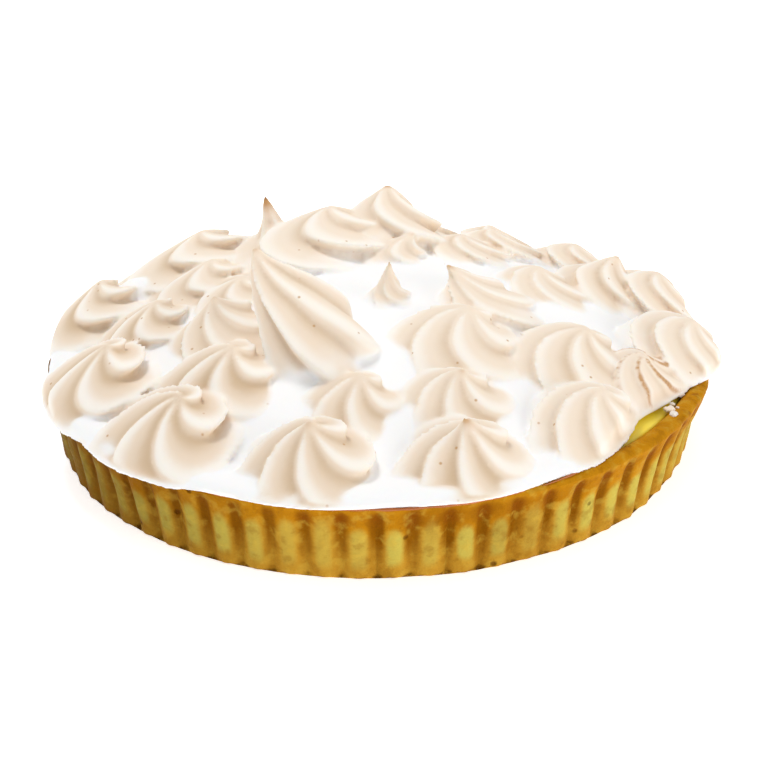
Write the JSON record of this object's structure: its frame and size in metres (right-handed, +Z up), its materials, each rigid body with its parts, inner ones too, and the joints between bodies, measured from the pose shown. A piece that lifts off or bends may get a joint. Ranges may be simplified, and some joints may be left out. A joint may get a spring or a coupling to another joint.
{
  "type": "lemon meringue pie",
  "caption": "Round lemon meringue tart: fluted golden pastry case, lemon filling and a dome of toasted piped meringue swirls.",
  "frame": {"origin": "centre of the flat underside of the pastry case", "axes": "+Z up out of the filling, -Y towards the pictured front, +X to the right of it"},
  "size_m": [0.234, 0.2276, 0.0755],
  "materials": {
    "pastry": "matte",
    "lemon": "satin",
    "meringue": "matte"
  },
  "bodies": {
    "root": {"crust": "pastry", "lemon_filling": "lemon", "meringue": "meringue"}
  },
  "joints": []
}
